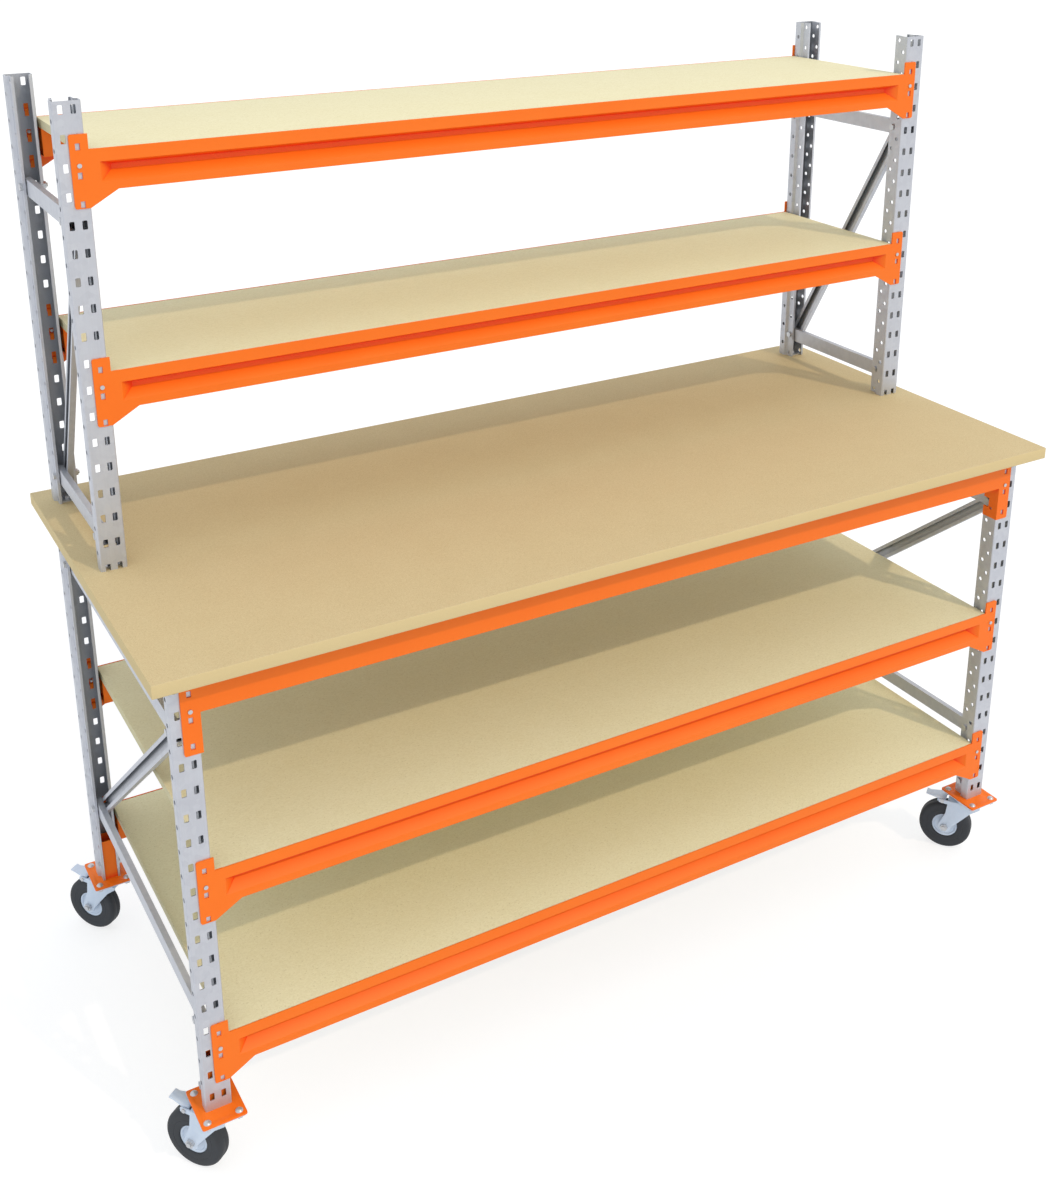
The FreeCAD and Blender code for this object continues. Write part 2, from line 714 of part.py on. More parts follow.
def fork():
    """The pressed fork: two legs, a crown over the wheel, a cup for the race, and two ears for the pedal."""
    throat = castor_trail - fork_throat_setback
    shoulder = FreeCAD.Vector(fork_shoulder_setback - fork_nose, 0, crown_top - fork_shoulder_drop)
    ear_end = castor_trail + fork_ear_reach
    outline = [(-fork_nose, crown_top), (-fork_nose, crown_top - fork_nose_drop), (shoulder.x, shoulder.z),
               (castor_trail - axle_boss_radius, wheel_radius), (castor_trail + axle_boss_radius, wheel_radius),
               (castor_trail, wheel_radius + fork_waist_rise), (throat, crown_top - fork_throat_drop),
               (ear_end, crown_bottom - fork_ear_drop), (ear_end, crown_top)]
    axle_place = FreeCAD.Vector(castor_trail, 0, wheel_radius)
    leg = prism([FreeCAD.Vector(x, fork_half_gap, z) for x, z in outline], ALONG_Y * fork_sheet)
    boss_place = axle_place + ALONG_Y * fork_half_gap
    leg = joined([leg, rod(2 * axle_boss_radius, boss_place, boss_place + ALONG_Y * fork_sheet)])
    pin_place = pedal_pin_place()
    pin_hole = rod(pedal_pin_diameter + 2 * running_clearance, pin_place,
                   pin_place + ALONG_Y * (fork_half_gap + fork_sheet + cut_overrun))
    axle_hole = rod(axle_diameter + 2 * running_clearance, axle_place,
                    axle_place + ALONG_Y * (fork_half_gap + fork_sheet + cut_overrun))
    leg = leg.cut([axle_hole, pin_hole])
    outer_half = fork_half_gap + fork_sheet
    crown = block(-fork_nose, throat, -outer_half, outer_half, crown_bottom, crown_top)
    cup_top = head_top - castor_head_gap
    cup = rod(castor_head_diameter, ALONG_Z * crown_bottom, ALONG_Z * cup_top)
    cup = cup.cut(rod(castor_head_diameter - 2 * castor_head_sheet, ALONG_Z * crown_top, ALONG_Z * cup_top))
    pin_bore = rod(kingpin_diameter + 2 * running_clearance, ALONG_Z * crown_bottom, ALONG_Z * crown_top)
    return joined([crown, cup, leg, leg.mirror(ORIGIN, ALONG_Y)]).cut(pin_bore)


def pedal_pin_place():
    """The middle of the pedal's pin."""
    return FreeCAD.Vector(castor_trail + pedal_pin_from_trail, 0, crown_top - pedal_pin_below_top)


def laid_along_y(shapes, place):
    """Turns pieces that stand along Z so that they lie along Y, and moves them."""
    turned = []
    for shape in shapes:
        copy = shape.copy()
        copy.rotate(ORIGIN, ALONG_X, -90)
        copy.translate(place)
        turned.append(copy)
    return turned


def axle_and_pin():
    """The wheel's axle bolt with its nut, and the pedal's pin."""
    outer_half = fork_half_gap + fork_sheet
    axle = bolt_and_nut(2 * outer_half, axle_diameter, axle_flats, axle_head_thickness, axle_head_thickness,
                        bolt_end)
    axle = laid_along_y(axle, FreeCAD.Vector(castor_trail, -outer_half, wheel_radius))
    place = pedal_pin_place()
    shank = rod(pedal_pin_diameter, place - ALONG_Y * outer_half, place + ALONG_Y * outer_half)
    heads = [rod(pedal_pin_head_diameter, place + ALONG_Y * (side * outer_half),
                 place + ALONG_Y * (side * (outer_half + pedal_pin_head_height))) for side in (-1, 1)]
    return axle + [joined([shank] + heads)]


def spun(outline):
    """A wheel piece spun from an outline of (radius, distance from the wheel's middle plane)."""
    points = [FreeCAD.Vector(radius, offset, 0) for radius, offset in outline]
    face = Part.Face(Part.makePolygon(points + [points[0]]))
    turned = face.revolve(ORIGIN, ALONG_Y, 360)
    turned.translate(FreeCAD.Vector(castor_trail, 0, wheel_radius))
    return turned


def rim():
    """The dished wheel disc with its hub."""
    edge = rim_diameter / 2
    half = rim_width / 2
    dish = half - rim_dish_depth
    one_side = [(axle_diameter / 2 + running_clearance, hub_width / 2), (hub_diameter / 2, hub_width / 2),
                (hub_diameter / 2, dish), (rim_dish_inner_diameter / 2, dish),
                (rim_dish_outer_diameter / 2, dish), (rim_dish_outer_diameter / 2, half), (edge, half)]
    return spun(one_side + [(radius, -offset) for radius, offset in reversed(one_side)])


def tyre():
    """The rubber tyre, with rounded shoulders."""
    bore = rim_diameter / 2 + rim_seat_clearance
    half = tyre_width / 2
    ring = spun([(bore, -half), (wheel_radius, -half), (wheel_radius, half), (bore, half)])
    rounds = [edge for edge in ring.Edges if isinstance(edge.Curve, Part.Circle)]
    treads = [edge for edge in rounds if edge.Curve.Radius > wheel_radius - rim_seat_clearance]
    return ring.makeFillet(tyre_shoulder_radius, treads)


def pedal():
    """The brake pedal: a tapered plate between the fork's ears, two cheeks on the pin, and the brake shoe."""
    pin = pedal_pin_place()
    back = pin.x - pedal_back
    tip = pin.x + pedal_reach
    bend = tip - pedal_tip_length
    half = fork_half_gap - pedal_side_clearance
    tip_half = pedal_tip_width / 2
    plate_low = pin.z + pedal_pin_diameter / 2 + running_clearance
    plate = prism([FreeCAD.Vector(x, y, plate_low) for x, y in
                   ((back, -half), (pin.x + pedal_cheek_reach, -half), (bend, -tip_half), (bend, tip_half),
                    (pin.x + pedal_cheek_reach, half), (back, half))], ALONG_Z * pedal_sheet)
    toe = prism([FreeCAD.Vector(x, -tip_half, plate_low + z) for x, z in
                 ((bend, 0), (tip, pedal_tip_rise), (tip, pedal_tip_rise + pedal_sheet), (bend, pedal_sheet))],
                ALONG_Y * pedal_tip_width)
    cheeks = [block(back, pin.x + pedal_cheek_reach, low, low + pedal_sheet,
                    pin.z - pedal_cheek_drop, plate_low)
              for low in (-half, half - pedal_sheet)]
    shoe_front = pin.x + shoe_start
    offset = shoe_front - castor_trail
    tyre_under = wheel_radius + math.sqrt(wheel_radius ** 2 - offset ** 2)
    shoe = block(shoe_front, shoe_front + shoe_length, -shoe_width / 2, shoe_width / 2,
                 tyre_under + shoe_gap, plate_low)
    across = ALONG_Y * fork_half_gap
    bore = rod(pedal_pin_diameter + 2 * running_clearance, pin - across, pin + across)
    return joined([plate, toe, shoe] + cheeks).cut(bore)


def add_castors():
    """Four castor feet with their bolts, and a braked castor under each."""
    foot = castor_foot()
    bolt = plate_bolt()
    foot_bolt = upright_bolt()
    foot_bolt_height = lower_foot + lower_first_slot + flange_hole_rise
    pieces = {"castor_fork": [fork()], "castor_axle": axle_and_pin(), "wheel_rim": [rim()],
              "wheel_tyre": [tyre()], "brake_pedal": [pedal()]}
    plate = top_plate()
    kingpin = kingpin_and_race()
    for group in ("castor_plate_bolts", "castor_top_plates", "castor_kingpins"):
        nodes[group] = []
    for side, x in sides.items():
        for end, y, inward, turn in (("front", front_y, 1, 0), ("rear", rear_y, -1, 180)):
            corner = "_" + end + "_" + side
            nodes["castor_foot" + corner] = [placed(foot, x, y, lower_foot, turn)]
            bolt_y = y + inward * flange_rear_row
            nodes["upright_bolts"] += [placed(piece, x - flange_outer_half, bolt_y, foot_bolt_height)
                                       for piece in foot_bolt]
            for place in plate_bolt_places():
                nodes["castor_plate_bolts"] += [placed(piece, x + place.x, y + inward * place.y, lower_foot)
                                                for piece in bolt]
            axis_y = y + inward * foot_plate_centre
            nodes["castor_top_plates"].append(placed(plate, x, axis_y, 0))
            nodes["castor_kingpins"] += [placed(piece, x, axis_y, 0) for piece in kingpin]
            for name, shapes in pieces.items():
                nodes[name + corner] = [placed(shape, x, axis_y, 0, castor_heading) for shape in shapes]


def write_nodes():
    """Moves the bench so that the origin is at the middle of its floor area, and writes every node."""
    whole = Part.makeCompound([shape for shapes in nodes.values() for shape in shapes])
    box = whole.optimalBoundingBox(False)
    shift = FreeCAD.Vector(-box.Center.x, -box.Center.y, -box.ZMin)
    print("shift of the frame's middle", [round(value, 4) for value in shift])
    print("size", [round(value, 3) for value in (box.XLength, box.YLength, box.ZLength)])
    for name, shapes in nodes.items():
        for shape in shapes:
            shape.translate(shift)
        piece = shapes[0] if len(shapes) == 1 else Part.makeCompound(shapes)
        piece.exportStep("parts/" + name + ".step")
        print(name, len(piece.Solids), "solids", round(piece.Volume / 1000), "cm3", piece.isValid())


add_uprights()
add_braces()
add_beams_and_boards()
add_worktop()
add_castors()
write_nodes()
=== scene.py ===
# %% [markdown]
# # A mobile workbench
#
# The bench is made of slotted steel uprights, orange beams that hook into the slots, a thick worktop,
# thinner shelf boards, and four braked castors. Its exact shapes come from a CAD model, which stays as it
# is. This lesson gives every piece its finish, softens the edges that catch the light, and models again
# what CAD draws too plainly: the boards and the wheels.

# %% Load the CAD frame
import json
import math

import bpy
from mathutils import Matrix, Vector


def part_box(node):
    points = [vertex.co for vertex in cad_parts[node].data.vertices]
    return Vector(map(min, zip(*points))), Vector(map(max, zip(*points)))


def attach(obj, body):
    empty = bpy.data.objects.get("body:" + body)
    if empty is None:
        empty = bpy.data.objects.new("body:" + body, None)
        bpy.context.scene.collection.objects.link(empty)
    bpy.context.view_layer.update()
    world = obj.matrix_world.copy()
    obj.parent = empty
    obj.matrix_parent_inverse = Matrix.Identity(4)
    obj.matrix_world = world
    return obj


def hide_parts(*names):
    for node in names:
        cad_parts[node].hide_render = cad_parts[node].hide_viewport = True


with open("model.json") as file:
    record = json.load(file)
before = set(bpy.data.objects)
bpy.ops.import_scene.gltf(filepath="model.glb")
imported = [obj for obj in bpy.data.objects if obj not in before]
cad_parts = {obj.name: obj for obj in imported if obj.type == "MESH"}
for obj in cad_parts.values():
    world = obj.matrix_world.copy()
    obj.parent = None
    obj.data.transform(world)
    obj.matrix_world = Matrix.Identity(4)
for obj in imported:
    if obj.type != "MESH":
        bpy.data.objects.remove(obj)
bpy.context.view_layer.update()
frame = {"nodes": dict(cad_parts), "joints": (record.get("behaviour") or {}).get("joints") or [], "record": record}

nodes = frame["nodes"]

# %% [markdown]
# ## Small helpers
#
# The sizes of pieces and patterns are written in millimetres, because that is how a workshop thinks, and
# MM turns them into Blender's metres. Only the floor, the sun and the camera are placed in metres. An
# operator acts on everything that is selected, so each step starts by selecting only the piece that it is
# about.

# %% Millimetres, and selecting one piece
MM = 0.001


def select_only(piece=None):
    """Leaves edit mode and makes one piece, or nothing, the selection."""
    if bpy.context.mode != "OBJECT":
        bpy.ops.object.mode_set(mode="OBJECT")
    bpy.ops.object.select_all(action="DESELECT")
    if piece is not None:
        piece.select_set(True)
        bpy.context.view_layer.objects.active = piece


# %% [markdown]
# ## Colours and shader nodes
#
# A colour picker gives sRGB hex codes, while shaders count in linear light, so one function turns the
# first into the second. A second function adds a node, with its settings and with its inputs: a plain
# value is typed into the socket, and an output of another node is linked to it. Two more start a finish
# and end it.

# %% Hex colours and a node helper
def linear_light(channel):
    """One sRGB channel, from 0 to 1, in linear light."""
    if channel <= 0.04045:
        return channel / 12.92
    return ((channel + 0.055) / 1.055) ** 2.4


def hex_colour(code):
    """The linear colour of an sRGB hex code such as #C5C8D0."""
    channels = [int(code[start:start + 2], 16) / 255 for start in (1, 3, 5)]
    return (*[linear_light(channel) for channel in channels], 1.0)


def add_node(tree, kind, settings=None, inputs=None):
    """Adds a node to a tree, sets it up and links what feeds it."""
    node = tree.nodes.new(kind)
    for name, value in (settings or {}).items():
        setattr(node, name, value)
    for name, value in (inputs or {}).items():
        if isinstance(value, bpy.types.NodeSocket):
            tree.links.new(value, node.inputs[name])
        else:
            node.inputs[name].default_value = value
    return node


def start_material(name):
    """A new material with its node tree, its main shader and the piece's own coordinates."""
    material = bpy.data.materials.new(name)
    material.use_nodes = True
    tree = material.node_tree
    place = add_node(tree, "ShaderNodeTexCoord").outputs["Object"]
    return material, tree, tree.nodes["Principled BSDF"], place


def link_finish(tree, shader, colour, rough, bump):
    """Links a finish's colour, roughness and bump to its main shader."""
    tree.links.new(colour.outputs["Color"], shader.inputs["Base Color"])
    tree.links.new(rough.outputs["Result"], shader.inputs["Roughness"])
    tree.links.new(bump.outputs["Normal"], shader.inputs["Normal"])


# %% [markdown]
# ## Painted shade in folds and grooves
#
# Inside a folded section and at the back of a groove little light reaches, and the colour there is
# darkened as painted shade. An Ambient Occlusion node finds such places. It measures how much of a
# point's view is closed off by the same piece within a short reach, and a Map Range node turns that
# into a mask: 1 deep inside, 0 in the open.

# %% A mask for painted shade inside folds and grooves
def shade_mask(tree, reach, closed, open_from):
    """A mask that is 1 where a piece shelters itself and 0 in the open."""
    view = add_node(tree, "ShaderNodeAmbientOcclusion", {"only_local": True, "samples": 12},
                    {"Distance": reach})
    return add_node(tree, "ShaderNodeMapRange", None, {
        "Value": view.outputs["AO"], "From Min": open_from, "From Max": closed}).outputs["Result"]


# %% [markdown]
# ## Galvanised sheet steel
#
# The uprights and braces are rolled from sheet that was dipped in molten zinc. As the zinc sets, it forms
# flat crystals called spangle, about a centimetre across, and each one reflects a little differently. A
# texture of cells draws them. Each cell gets its own tint and its own roughness, and fine noise stretched
# along the upright stands for the faint lines that the rolls leave. Inside the sections the colour is
# darkened towards a grey, a painted shade where little light reaches.

# %% Galvanised sheet steel
def galvanised_sheet():
    spangle_width = 11 * MM
    line_width = 3 * MM
    line_stretch = 25
    cloud_width = 120 * MM
    fold_reach = 50 * MM
    material, tree, shader, place = start_material("galvanised_sheet_steel")
    spangle = add_node(tree, "ShaderNodeTexVoronoi", {"feature": "F1"}, {
        "Vector": place, "Scale": 1 / spangle_width})
    cell = add_node(tree, "ShaderNodeSeparateColor", None, {"Color": spangle.outputs["Color"]})
    along = add_node(tree, "ShaderNodeMapping", None, {"Vector": place, "Scale": (1, 1, 1 / line_stretch)})
    lines = add_node(tree, "ShaderNodeTexNoise", None, {
        "Vector": along.outputs["Vector"], "Scale": 1 / line_width, "Detail": 3})
    cloud = add_node(tree, "ShaderNodeTexNoise", None, {
        "Vector": place, "Scale": 1 / cloud_width, "Detail": 2})
    tints = add_node(tree, "ShaderNodeMixRGB", None, {
        "Fac": cell.outputs["Red"], "Color1": hex_colour("#C6C9D1"), "Color2": hex_colour("#CCCFD6")})
    streaked = add_node(tree, "ShaderNodeMixRGB", {"blend_type": "MULTIPLY"}, {
        "Fac": 0.08, "Color1": tints.outputs["Color"], "Color2": lines.outputs["Fac"]})
    clouded = add_node(tree, "ShaderNodeMixRGB", {"blend_type": "SOFT_LIGHT"}, {
        "Fac": 0.1, "Color1": streaked.outputs["Color"], "Color2": cloud.outputs["Fac"]})
    # Painted shade: inside the sections the colour is darkened towards grey #969BA2.
    fold_shaded = add_node(tree, "ShaderNodeMixRGB", None, {
        "Fac": shade_mask(tree, fold_reach, closed=0.25, open_from=0.75),
        "Color1": clouded.outputs["Color"], "Color2": hex_colour("#969BA2")})
    rough = add_node(tree, "ShaderNodeMapRange", None, {
        "Value": cell.outputs["Green"], "To Min": 0.44, "To Max": 0.54})
    bump = add_node(tree, "ShaderNodeBump", None, {
        "Height": lines.outputs["Fac"], "Strength": 0.12, "Distance": 0.15 * MM})
    link_finish(tree, shader, fold_shaded, rough, bump)
    shader.inputs["Metallic"].default_value = 0.6
    return material


# %% [markdown]
# ## Orange powder coat
#
# The beams and castor feet are sprayed with plastic powder and baked. That gives an even, strong colour
# with a soft gloss and a very fine dimpled skin, known as orange peel. The dimples are about 2 mm wide,
# so noise of that size bends the normals a little. A wide, weak cloud keeps long beams from looking like
# flat paint. At the back of a groove the colour turns a deeper red, a painted shade. The shade mask
# finds it, and it is kept only where the surface doesn't face up, because the groove's lower slope is as
# bright as the beam's face.

# %% Orange powder coat
def orange_powder_coat():
    cloud_width = 160 * MM
    dimple_width = 2 * MM
    groove_reach = 30 * MM
    material, tree, shader, place = start_material("orange_powder_coat")
    cloud = add_node(tree, "ShaderNodeTexNoise", None, {
        "Vector": place, "Scale": 1 / cloud_width, "Detail": 3})
    peel = add_node(tree, "ShaderNodeTexNoise", None, {
        "Vector": place, "Scale": 1 / dimple_width, "Detail": 2})
    tone = add_node(tree, "ShaderNodeMixRGB", None, {
        "Fac": cloud.outputs["Fac"], "Color1": hex_colour("#FF7212"), "Color2": hex_colour("#FF7E1C")})
    # Painted shade: at the back of a groove, where the piece shelters itself and the surface doesn't face up, the
    # colour turns a deeper red.
    normal = add_node(tree, "ShaderNodeTexCoord").outputs["Normal"]
    facing = add_node(tree, "ShaderNodeSeparateXYZ", None, {"Vector": normal})
    upright_or_under = add_node(tree, "ShaderNodeMapRange", None, {
        "Value": facing.outputs["Z"], "From Min": 0.5, "From Max": 0.1})
    groove_shade = add_node(tree, "ShaderNodeMath", {"operation": "MULTIPLY"}, {
        0: upright_or_under.outputs["Result"],
        1: shade_mask(tree, groove_reach, closed=0.55, open_from=0.85)})
    groove_shaded = add_node(tree, "ShaderNodeMixRGB", None, {
        "Fac": groove_shade.outputs["Value"], "Color1": tone.outputs["Color"],
        "Color2": hex_colour("#FF3604")})
    rough = add_node(tree, "ShaderNodeMapRange", None, {
        "Value": peel.outputs["Fac"], "To Min": 0.38, "To Max": 0.52})
    bump = add_node(tree, "ShaderNodeBump", None, {
        "Height": peel.outputs["Fac"], "Strength": 0.15, "Distance": 0.1 * MM})
    link_finish(tree, shader, groove_shaded, rough, bump)
    shader.inputs["IOR"].default_value = 1.5
    shader.inputs["Specular IOR Level"].default_value = 0.3
    return material


# %% [markdown]
# ## Fibreboard and chipboard
#
# The worktop is fibreboard: wood fibre pressed so fine that its face is an even tan with faint darker
# specks. The shelves are chipboard, paler, with visible chips a few millimetres long. Both are mixed in
# the same way: cells for the chips or fibres, a wide cloud for the uneven pressing, and specks where a
# noise passes a threshold. The sawn edges show the coarser core, so the material looks at the normal in
# the piece's own space and gives every face that doesn't point up or down a second tone. On the worktop
# that tone is also lighter than the face, a painted light that brightens its edges. Real fibres are
# much finer than the cells drawn here, which are as coarse as they need to be to show.

# %% A mask for the sawn edges, which also carry painted light
def sawn_and_lit_edges(tree):
    """A mask that is 1 on faces that point neither up nor down."""
    normal = add_node(tree, "ShaderNodeTexCoord").outputs["Normal"]
    facing = add_node(tree, "ShaderNodeSeparateXYZ", None, {"Vector": normal})
    upness = add_node(tree, "ShaderNodeMath", {"operation": "ABSOLUTE"}, {0: facing.outputs["Z"]})
    return add_node(tree, "ShaderNodeMapRange", None, {
        "Value": upness.outputs["Value"], "From Min": 0.75, "From Max": 0.35}).outputs["Result"]


# %% Fibreboard and chipboard
def pressed_board(name, pale, deep, speck, sawn_and_lit, grain, stretch):
    fibre_width = 0.4 * grain
    speck_width = 1.3 * grain
    cloud_width = 90 * MM
    material, tree, shader, place = start_material(name)
    laid = add_node(tree, "ShaderNodeMapping", None, {"Vector": place, "Scale": (stretch, 1, 1)})
    chips = add_node(tree, "ShaderNodeTexVoronoi", {"feature": "F1"}, {
        "Vector": laid.outputs["Vector"], "Scale": 1 / grain})
    chip = add_node(tree, "ShaderNodeSeparateColor", None, {"Color": chips.outputs["Color"]})
    fibre = add_node(tree, "ShaderNodeTexNoise", None, {
        "Vector": laid.outputs["Vector"], "Scale": 1 / fibre_width, "Detail": 4})
    cloud = add_node(tree, "ShaderNodeTexNoise", None, {
        "Vector": place, "Scale": 1 / cloud_width, "Detail": 3})
    specks = add_node(tree, "ShaderNodeTexNoise", None, {
        "Vector": place, "Scale": 1 / speck_width, "Detail": 1})
    speck_mask = add_node(tree, "ShaderNodeMapRange", None, {
        "Value": specks.outputs["Fac"], "From Min": 0.66, "From Max": 0.74})
    base = add_node(tree, "ShaderNodeMixRGB", None, {
        "Fac": chip.outputs["Red"], "Color1": hex_colour(deep), "Color2": hex_colour(pale)})
    fibred = add_node(tree, "ShaderNodeMixRGB", {"blend_type": "SOFT_LIGHT"}, {
        "Fac": 0.3, "Color1": base.outputs["Color"], "Color2": fibre.outputs["Fac"]})
    clouded = add_node(tree, "ShaderNodeMixRGB", {"blend_type": "SOFT_LIGHT"}, {
        "Fac": 0.08, "Color1": fibred.outputs["Color"], "Color2": cloud.outputs["Fac"]})
    specked = add_node(tree, "ShaderNodeMixRGB", None, {
        "Fac": speck_mask.outputs["Result"], "Color1": clouded.outputs["Color"],
        "Color2": hex_colour(speck)})
    # Sawn edges: the coarser core's tone with fibre; on the worktop it is lighter than the face, a painted light
    # on its edges.
    core_and_lit_edge = add_node(tree, "ShaderNodeMixRGB", {"blend_type": "MULTIPLY"}, {
        "Fac": 0.25, "Color1": hex_colour(sawn_and_lit), "Color2": fibre.outputs["Fac"]})
    sided = add_node(tree, "ShaderNodeMixRGB", None, {
        "Fac": sawn_and_lit_edges(tree), "Color1": specked.outputs["Color"], "Color2": core_and_lit_edge.outputs["Color"]})
    rough = add_node(tree, "ShaderNodeMapRange", None, {
        "Value": fibre.outputs["Fac"], "To Min": 0.55, "To Max": 0.8})
    bump = add_node(tree, "ShaderNodeBump", None, {
        "Height": fibre.outputs["Fac"], "Strength": 0.2, "Distance": 0.2 * MM})
    link_finish(tree, shader, sided, rough, bump)
    shader.inputs["Specular IOR Level"].default_value = 0.12
    return material


# %% [markdown]
# ## Zinc plating and rubber
#
# The castor pressings, bolts and wheel discs are electroplated: a thin bright zinc layer with a cool,
# slightly milky shine. The tyre is moulded rubber, dark grey rather than black, dull, with a faint dusty
# bloom. The grain of the plating and of the rubber is finer in truth, and is drawn about a millimetre
# wide so that it can show.

# %% Zinc plating
def zinc_plating(name, dark, light, low_rough, high_rough, metal):
    bloom_width = 14 * MM
    grain_width = 1.2 * MM
    material, tree, shader, place = start_material(name)
    bloom = add_node(tree, "ShaderNodeTexNoise", None, {
        "Vector": place, "Scale": 1 / bloom_width, "Detail": 3})
    fine = add_node(tree, "ShaderNodeTexNoise", None, {
        "Vector": place, "Scale": 1 / grain_width, "Detail": 2})
    tone = add_node(tree, "ShaderNodeMixRGB", None, {
        "Fac": bloom.outputs["Fac"], "Color1": hex_colour(dark), "Color2": hex_colour(light)})
    rough = add_node(tree, "ShaderNodeMapRange", None, {
        "Value": bloom.outputs["Fac"], "To Min": low_rough, "To Max": high_rough})
    bump = add_node(tree, "ShaderNodeBump", None, {
        "Height": fine.outputs["Fac"], "Strength": 0.08, "Distance": 0.05 * MM})
    link_finish(tree, shader, tone, rough, bump)
    shader.inputs["Metallic"].default_value = metal
    return material


# %% Moulded rubber
def moulded_rubber():
    bloom_width = 22 * MM
    grit_width = 0.9 * MM
    material, tree, shader, place = start_material("moulded_rubber")
    bloom = add_node(tree, "ShaderNodeTexNoise", None, {
        "Vector": place, "Scale": 1 / bloom_width, "Detail": 4})
    grit = add_node(tree, "ShaderNodeTexNoise", None, {
        "Vector": place, "Scale": 1 / grit_width, "Detail": 2})
    tone = add_node(tree, "ShaderNodeMixRGB", None, {
        "Fac": bloom.outputs["Fac"], "Color1": hex_colour("#24272B"), "Color2": hex_colour("#3B3F45")})
    rough = add_node(tree, "ShaderNodeMapRange", None, {
        "Value": bloom.outputs["Fac"], "To Min": 0.55, "To Max": 0.78})
    bump = add_node(tree, "ShaderNodeBump", None, {
        "Height": grit.outputs["Fac"], "Strength": 0.25, "Distance": 0.1 * MM})
    link_finish(tree, shader, tone, rough, bump)
    return material


# %% [markdown]
# ## Handing out the finishes
#
# The part's record sorts its nodes into slots, such as orange paint or shelf board. One table gives each
# slot its material, and a loop puts it on the nodes. The pieces that are modelled again below look it up
# in the same table.

# %% Give every CAD node the finish of its slot
slot_of_node = {part["node"]: part["material_slot"] for part in frame["record"]["subparts"]}
finishes = {
    "galvanised_sheet": galvanised_sheet(),
    "orange_paint": orange_powder_coat(),
    "worktop_board": pressed_board("tan_fibreboard", pale="#D8C598", deep="#CFBA8E", speck="#BFA67A",
                                   sawn_and_lit="#EAD39E", grain=1.6 * MM, stretch=1),
    "shelf_board": pressed_board("pale_chipboard", pale="#F0E7C0", deep="#E9DFB5", speck="#DCD0A4",
                                 sawn_and_lit="#E8DEB5", grain=2.6 * MM, stretch=0.7),
    "zinc_pressings": zinc_plating("bright_zinc_pressing", dark="#CCDBEE", light="#DEE9F6",
                                   low_rough=0.36, high_rough=0.5, metal=0.2),
    "zinc_fasteners": zinc_plating("pale_zinc_bolt", dark="#B9BCC2", light="#D0D2D4",
                                   low_rough=0.28, high_rough=0.42, metal=0.7),
    "tyre_rubber": moulded_rubber(),
}
for name, node in nodes.items():
    for slot in node.material_slots:
        slot.material = finishes[slot_of_node[name]]
print("finishes:", sorted(finishes))

# %% [markdown]
# ## Boards with eased edges
#
# A sawn board is never perfectly sharp: sandpaper takes off the corner, and that narrow rounded strip
# catches the light along the whole bench. Each board starts as a cube of the CAD node's size, and a bevel
# with a few segments eases all its edges.

# %% Model the worktop and the shelf boards
def body_of(node):
    """The CAD body that a node belongs to."""
    bodies = frame["record"]["behaviour"]["bodies"]
    return next(name for name, members in bodies.items() if node in members)


def stand_for(piece, node):
    """Lets a finished piece take a CAD node's place, body and finish."""
    piece.data.materials.clear()
    piece.data.materials.append(finishes[slot_of_node[node]])
    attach(piece, body_of(node))
    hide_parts(node)


def eased_board(node, ease):
    """A board the size of a CAD node, with its edges rounded."""
    low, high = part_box(node)
    select_only()
    bpy.ops.mesh.primitive_cube_add(size=1, location=(low + high) / 2)
    piece = bpy.context.object
    piece.name = node + "_eased"
    bpy.ops.transform.resize(value=high - low)
    bpy.ops.object.transform_apply(location=True, rotation=True, scale=True)
    bpy.ops.object.mode_set(mode="EDIT")
    bpy.ops.mesh.select_all(action="SELECT")
    bpy.ops.mesh.bevel(offset=ease, segments=3, affect="EDGES")
    select_only(piece)
    bpy.ops.object.shade_smooth_by_angle(angle=math.radians(40))
    stand_for(piece, node)
    print(piece.name, [round(size, 3) for size in high - low])


eased_board("worktop", ease=1.5 * MM)
for node in sorted(nodes):
    if node.endswith("_board"):
        eased_board(node, ease=1 * MM)

# %% [markdown]
# ## Wheels turned from rings
#
# A wheel is a shape turned around an axle. By hand it is drawn ring by ring: a circle is added at the
# bore, and each extrude and scale makes the next ring of the outline. The tyre gets flat side walls with
# one moulded line, round shoulders and a shallow seam in the tread. The disc is a steel pressing with a
# dish around its hub. One tyre and one disc are modelled on the first axle, and the others are copies of
# them.

# %% A helper that turns an outline around an axle
RING_POINTS = 96
MERGE_DISTANCE = 0.01 * MM
joint_of = {joint["name"]: joint for joint in frame["joints"]}


def turned(name, outline, corner):
    """Turns a closed outline of (radius, offset), in mm, around a corner's wheel axle."""
    select_only()
    radius, offset = outline[0]
    bpy.ops.mesh.primitive_circle_add(vertices=RING_POINTS, radius=radius * MM, location=(0, 0, 0))
    piece = bpy.context.object
    piece.name = name
    bpy.ops.object.mode_set(mode="EDIT")
    bpy.ops.mesh.select_all(action="SELECT")
    bpy.ops.transform.translate(value=(0, 0, offset * MM))
    for next_radius, next_offset in outline[1:] + outline[:1]:
        bpy.ops.mesh.extrude_region_move()
        bpy.ops.transform.resize(value=(next_radius / radius, next_radius / radius, 1))
        bpy.ops.transform.translate(value=(0, 0, (next_offset - offset) * MM))
        radius, offset = next_radius, next_offset
    bpy.ops.mesh.select_all(action="SELECT")
    bpy.ops.mesh.remove_doubles(threshold=MERGE_DISTANCE)
    bpy.ops.mesh.normals_make_consistent(inside=False)
    select_only(piece)
    spin = joint_of["wheel_spin_" + corner]
    piece.matrix_world = (Matrix.Translation(Vector(spin["pos_m"]))
                          @ Vector(spin["axis"]).to_track_quat("Z", "Y").to_matrix().to_4x4())
    bpy.ops.object.transform_apply(location=True, rotation=True, scale=True)
    bpy.ops.object.shade_smooth_by_angle(angle=math.radians(32))
    print(name, len(piece.data.polygons), "faces")
    return piece


